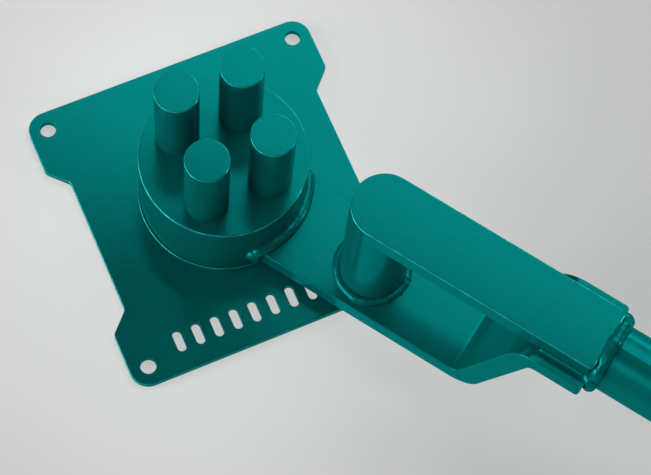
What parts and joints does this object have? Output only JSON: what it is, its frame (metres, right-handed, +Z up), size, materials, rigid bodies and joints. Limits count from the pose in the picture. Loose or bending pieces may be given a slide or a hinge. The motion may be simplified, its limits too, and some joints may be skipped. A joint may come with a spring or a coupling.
{
  "type": "rebar bender",
  "caption": "Lever-operated bench bender for reinforcing bar: square base plate, round turret with upright pins, and a swinging arm with a post and tube handle.",
  "frame": {"origin": "centre of the four bolt holes, on the underside of the base plate", "axes": "+Z up, along the bending pins and the swing axis; X and Y along the sides of the base plate; -Y is the edge with the row of slots; the arm rests at -55.5 degrees about +Z from +X"},
  "size_m": [0.7246, 0.9885, 0.1453],
  "materials": {
    "paint": "fine-textured teal powder coat, semi-gloss",
    "steel": "turned and ground",
    "dark_steel": "black oxide",
    "bronze": "turned",
    "plug": "moulded, fine grain"
  },
  "bodies": {
    "base": {"base_plate": "paint", "thrust_washer": "paint", "spindle": "steel", "turret_head": "paint", "turret_screws": "dark_steel", "turret_dowels": "steel", "front_left_pin": "paint", "front_right_pin": "paint", "back_left_pin": "paint", "back_right_pin": "paint"},
    "arm": {"hub_ring": "paint", "ring_bush": "bronze", "arm_plate": "paint", "hub_weld": "paint", "post": "paint", "post_foot_weld": "paint", "top_bar": "paint", "post_top_weld": "paint", "bar_side_welds": "paint", "handle_tube": "paint", "handle_weld": "paint", "handle_plug": "plug"}
  },
  "joints": [
    {"name": "arm_swing", "type": "hinge", "parent": "base", "child": "arm", "pos_m": [0.002, 0.0045, 0.0235], "axis": [0, 0, 1], "continuous": true}
  ]
}
